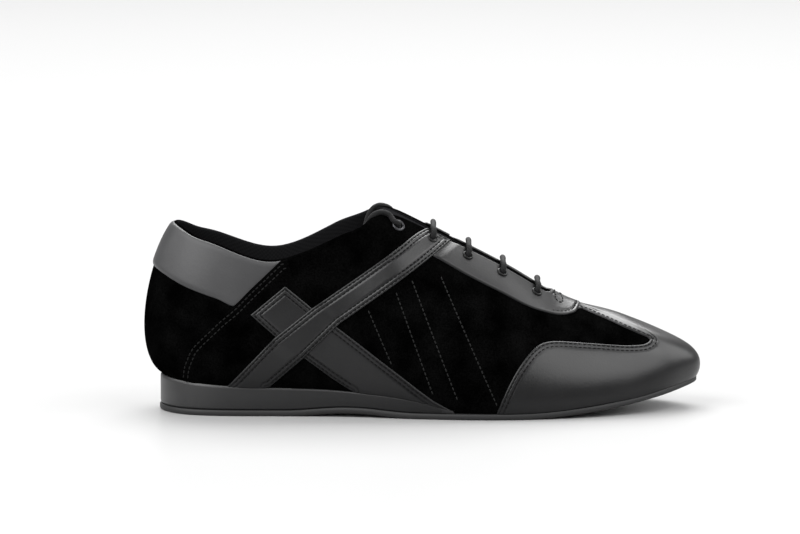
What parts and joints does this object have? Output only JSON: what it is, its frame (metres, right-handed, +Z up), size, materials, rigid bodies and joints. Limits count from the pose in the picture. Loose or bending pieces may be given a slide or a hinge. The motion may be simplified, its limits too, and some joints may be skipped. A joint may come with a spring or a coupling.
{
  "type": "dance sneaker",
  "caption": "Low lace-up dance sneaker for the right foot: black suede upper with leather overlays, heel wedge and thin sole.",
  "frame": {"origin": "on the floor, under the middle of the shoe's bounding box", "axes": "+X towards the toe, +Y towards the inner side of the foot, +Z up"},
  "size_m": [0.2918, 0.0982, 0.1065],
  "materials": {
    "outsole_rubber": "matt",
    "wedge_wrap": "satin",
    "sock_cloth": "matt",
    "suede": "napped",
    "tongue_cloth": "matt",
    "leather": "satin",
    "eyelet_metal": "satin",
    "lace_cord": "matt"
  },
  "bodies": {
    "root": {"outsole": "outsole_rubber", "heel_wedge": "wedge_wrap", "insole": "sock_cloth", "upper": "suede", "tongue": "tongue_cloth", "toe_cap": "leather", "eyestay": "leather", "heel_collar": "leather", "strap_rising_outer": "leather", "strap_rising_inner": "leather", "strap_falling_outer": "leather", "strap_falling_inner": "leather", "eyelet_outer_1": "eyelet_metal", "eyelet_inner_1": "eyelet_metal", "eyelet_outer_2": "eyelet_metal", "eyelet_inner_2": "eyelet_metal", "eyelet_outer_3": "eyelet_metal", "eyelet_inner_3": "eyelet_metal", "eyelet_outer_4": "eyelet_metal", "eyelet_inner_4": "eyelet_metal", "eyelet_outer_5": "eyelet_metal", "eyelet_inner_5": "eyelet_metal", "lace_bar_1": "lace_cord", "lace_bar_2": "lace_cord", "lace_bar_3": "lace_cord", "lace_bar_4": "lace_cord", "lace_bar_5": "lace_cord"}
  },
  "joints": []
}
